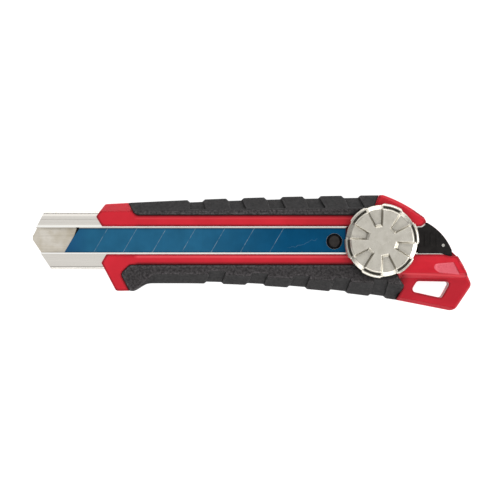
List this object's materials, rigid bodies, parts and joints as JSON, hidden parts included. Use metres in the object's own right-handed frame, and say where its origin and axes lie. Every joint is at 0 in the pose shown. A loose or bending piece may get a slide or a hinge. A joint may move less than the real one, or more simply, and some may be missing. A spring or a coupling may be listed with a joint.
{
  "type": "snap-off blade utility knife",
  "caption": "Flat utility knife with a snap-off blade sliding in a sheet metal channel, rubber grips, a metal lock wheel, a removable end cap and a lanyard loop.",
  "frame": {"origin": "centre of the footprint on the surface that the knife's back rests on", "axes": "+X from the blade's nose to the lanyard loop, +Y towards the upper edge of the handle, +Z from the back to the lock wheel"},
  "size_m": [0.1499, 0.0394, 0.0233],
  "materials": {
    "red_plastic": "satin gloss, moulded",
    "red_nylon": "satin, moulded",
    "black_rubber": "fine grained, matt",
    "black_plastic": "fine grained",
    "white_nylon": "plain",
    "stainless_sheet": "rolled, fine grain along the length",
    "steel": "machined",
    "blue_blade": "blue coating over ground steel",
    "zinc": "die-cast, satin with bright edges",
    "brass": "turned"
  },
  "bodies": {
    "handle": {"front_housing": "red_plastic", "rear_housing": "red_plastic", "front_upper_grip": "black_rubber", "front_lower_grip": "black_rubber", "rear_upper_grip": "black_rubber", "rear_lower_grip": "black_rubber", "housing_screws": "steel", "alignment_dowels": "steel", "blade_channel": "stainless_sheet"},
    "slider": {"slider_plate": "steel", "blade_pin": "black_plastic", "lock_stud": "steel", "slider_shoe": "red_nylon", "leaf_spring": "steel", "snap_off_blade": "blue_blade"},
    "washers": {"clamp_washer": "steel", "friction_washer": "white_nylon"},
    "wheel": {"lock_wheel": "zinc", "wheel_insert": "brass"},
    "cap": {"end_cap": "black_plastic", "snapper_insert": "steel", "cap_pin": "steel"}
  },
  "joints": [
    {"name": "slider_slide", "type": "slide", "parent": "handle", "child": "slider", "axis": [-1, 0, 0], "range_m": [0, 0.075]},
    {"name": "washer_lift", "type": "slide", "parent": "slider", "child": "washers", "axis": [0, 0, 1], "range_m": [0, 0.0008]},
    {"name": "wheel_turn", "type": "hinge", "parent": "washers", "child": "wheel", "pos_m": [0.04396, 0.004, 0.02], "axis": [0, 0, 1], "range_deg": [0, 360]},
    {"name": "end_cap_pull", "type": "slide", "parent": "handle", "child": "cap", "axis": [1, 0, 0], "range_m": [0, 0.02]}
  ],
  "couplings": [
    {"joint": "washer_lift", "follows": "wheel_turn", "m_per_rad": 0.000127}
  ]
}
